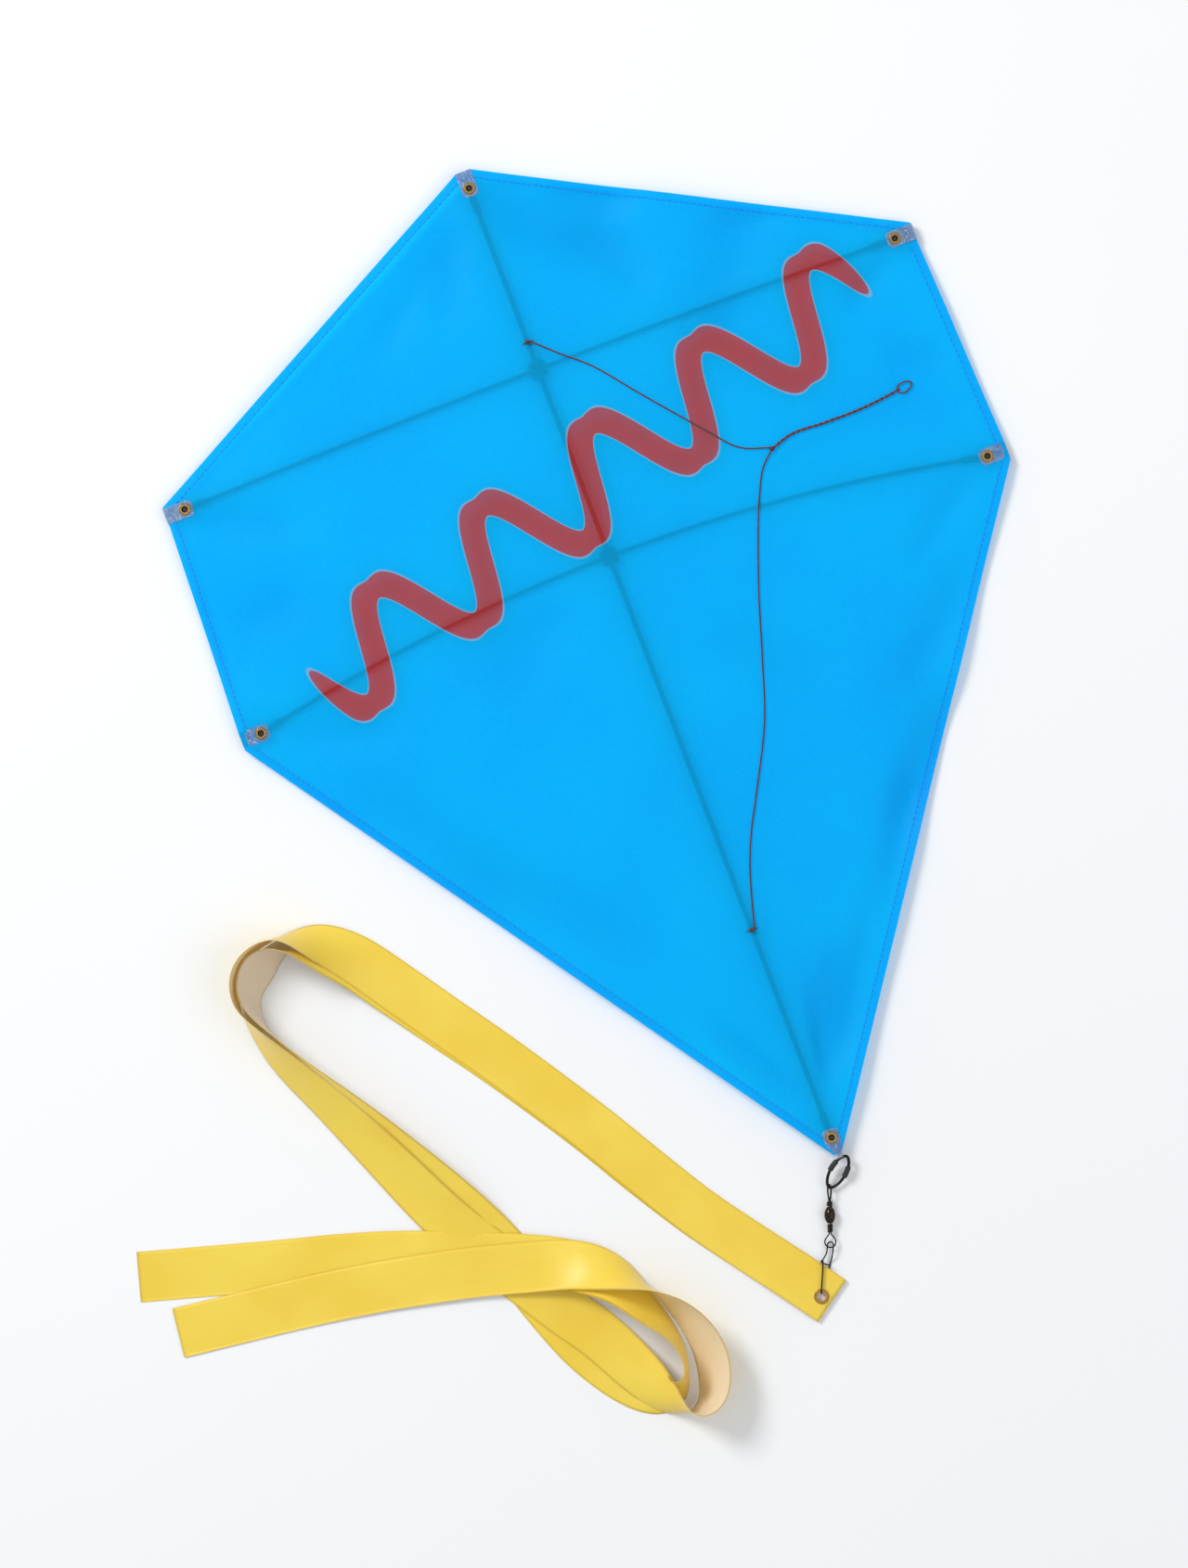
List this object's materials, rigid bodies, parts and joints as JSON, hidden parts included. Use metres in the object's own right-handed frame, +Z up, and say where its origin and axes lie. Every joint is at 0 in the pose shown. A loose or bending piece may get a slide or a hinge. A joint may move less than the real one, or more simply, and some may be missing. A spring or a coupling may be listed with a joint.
{
  "type": "diamond kite",
  "caption": "Flat six-cornered kite with a spine and bowed spars, cord bridle, tail swivel and a long ribbon tail.",
  "frame": {"origin": "centre of the footprint of the kite and its tail clip, on the surface it lies on, with the bridle side up", "axes": "+Y along the spine to the nose, +X to the right seen from the bridle side, +Z up from the rods to the bridle side"},
  "size_m": [0.8393, 0.9367, 0.0401],
  "materials": {
    "sail_cloth": "sheer woven polyester, satin",
    "rod": "pultruded glass fibre, satin",
    "moulded_black": "moulded",
    "clear_vinyl": "clear soft vinyl",
    "antique_brass": "antique brass, worn",
    "bridle_cord": "twisted cord",
    "black_nickel": "black nickel",
    "black_sleeve": "matt",
    "bright_nickel": "bright nickel",
    "ribbon": "satin ribbon, yellow face and cream back"
  },
  "bodies": {
    "kite": {"sail": "sail_cloth", "sail_hem": "sail_cloth", "spine": "rod", "nose_cap": "moulded_black", "tail_cap": "moulded_black", "upper_saddle": "moulded_black", "lower_saddle": "moulded_black", "nose_tab": "clear_vinyl", "tail_tab": "clear_vinyl", "upper_left_tab": "clear_vinyl", "upper_right_tab": "clear_vinyl", "lower_left_tab": "clear_vinyl", "lower_right_tab": "clear_vinyl", "nose_eyelet": "antique_brass", "tail_eyelet": "antique_brass", "upper_left_eyelet": "antique_brass", "upper_right_eyelet": "antique_brass", "lower_left_eyelet": "antique_brass", "lower_right_eyelet": "antique_brass", "upper_bridle_tie": "bridle_cord", "lower_bridle_tie": "bridle_cord", "upper_leg_knot": "bridle_cord", "lower_leg_knot": "bridle_cord", "bridle_upper_leg": "bridle_cord", "bridle_lower_leg": "bridle_cord", "bridle_knot": "bridle_cord", "tow_line": "bridle_cord", "tow_loop": "bridle_cord"},
    "upper_spar": {"upper_spar": "rod", "upper_left_cap": "moulded_black", "upper_right_cap": "moulded_black"},
    "lower_spar": {"lower_spar": "rod", "lower_left_cap": "moulded_black", "lower_right_cap": "moulded_black"},
    "tail_ring": {"tail_ring": "black_nickel", "ring_sleeves": "black_sleeve"},
    "swivel_upper_eye": {"swivel_upper_eye": "black_nickel"},
    "swivel_barrel": {"swivel_barrel": "black_nickel"},
    "swivel_lower_eye": {"swivel_lower_eye": "black_nickel"},
    "snap": {"snap_wire": "black_nickel"},
    "snap_arm": {"snap_arm": "black_nickel"},
    "tail": {"tail_grommet": "bright_nickel", "upper_streamer": "ribbon", "lower_streamer": "ribbon"}
  },
  "joints": [
    {"name": "upper_spar_release", "type": "slide", "parent": "kite", "child": "upper_spar", "axis": [0, 0, -1], "range_m": [0, 0.03]},
    {"name": "lower_spar_release", "type": "slide", "parent": "kite", "child": "lower_spar", "axis": [0, 0, -1], "range_m": [0, 0.03]},
    {"name": "ring_swing", "type": "hinge", "parent": "kite", "child": "tail_ring", "pos_m": [0.0012, -0.3505, 0.00983], "axis": [1, 0, 0], "range_deg": [-95, 60]},
    {"name": "swivel_swing", "type": "hinge", "parent": "tail_ring", "child": "swivel_upper_eye", "pos_m": [-0.01485, -0.37019, 0.0043], "axis": [0.9409, -0.3387, 0], "range_deg": [-70, 70]},
    {"name": "barrel_spin", "type": "hinge", "parent": "swivel_upper_eye", "child": "swivel_barrel", "pos_m": [-0.01485, -0.37019, 0.0043], "axis": [-0.3387, -0.9409, 0], "continuous": true},
    {"name": "lower_eye_spin", "type": "hinge", "parent": "swivel_barrel", "child": "swivel_lower_eye", "pos_m": [-0.01485, -0.37019, 0.0043], "axis": [-0.3387, -0.9409, 0], "continuous": true},
    {"name": "snap_tilt", "type": "hinge", "parent": "swivel_lower_eye", "child": "snap", "pos_m": [-0.03016, -0.41272, 0.0043], "axis": [0.9409, -0.3387, 0], "range_deg": [-30, 30]},
    {"name": "snap_open", "type": "hinge", "parent": "snap", "child": "snap_arm", "pos_m": [-0.04883, -0.44272, 0.0054], "axis": [0, 0, 1], "range_deg": [0, 22], "stiffness_Nm_per_rad": 0.02, "springref_deg": -2.86},
    {"name": "tail_swing", "type": "hinge", "parent": "snap", "child": "tail", "pos_m": [-0.04883, -0.44272, 0.0026], "axis": [0, 0, 1], "range_deg": [-4, 150]}
  ]
}
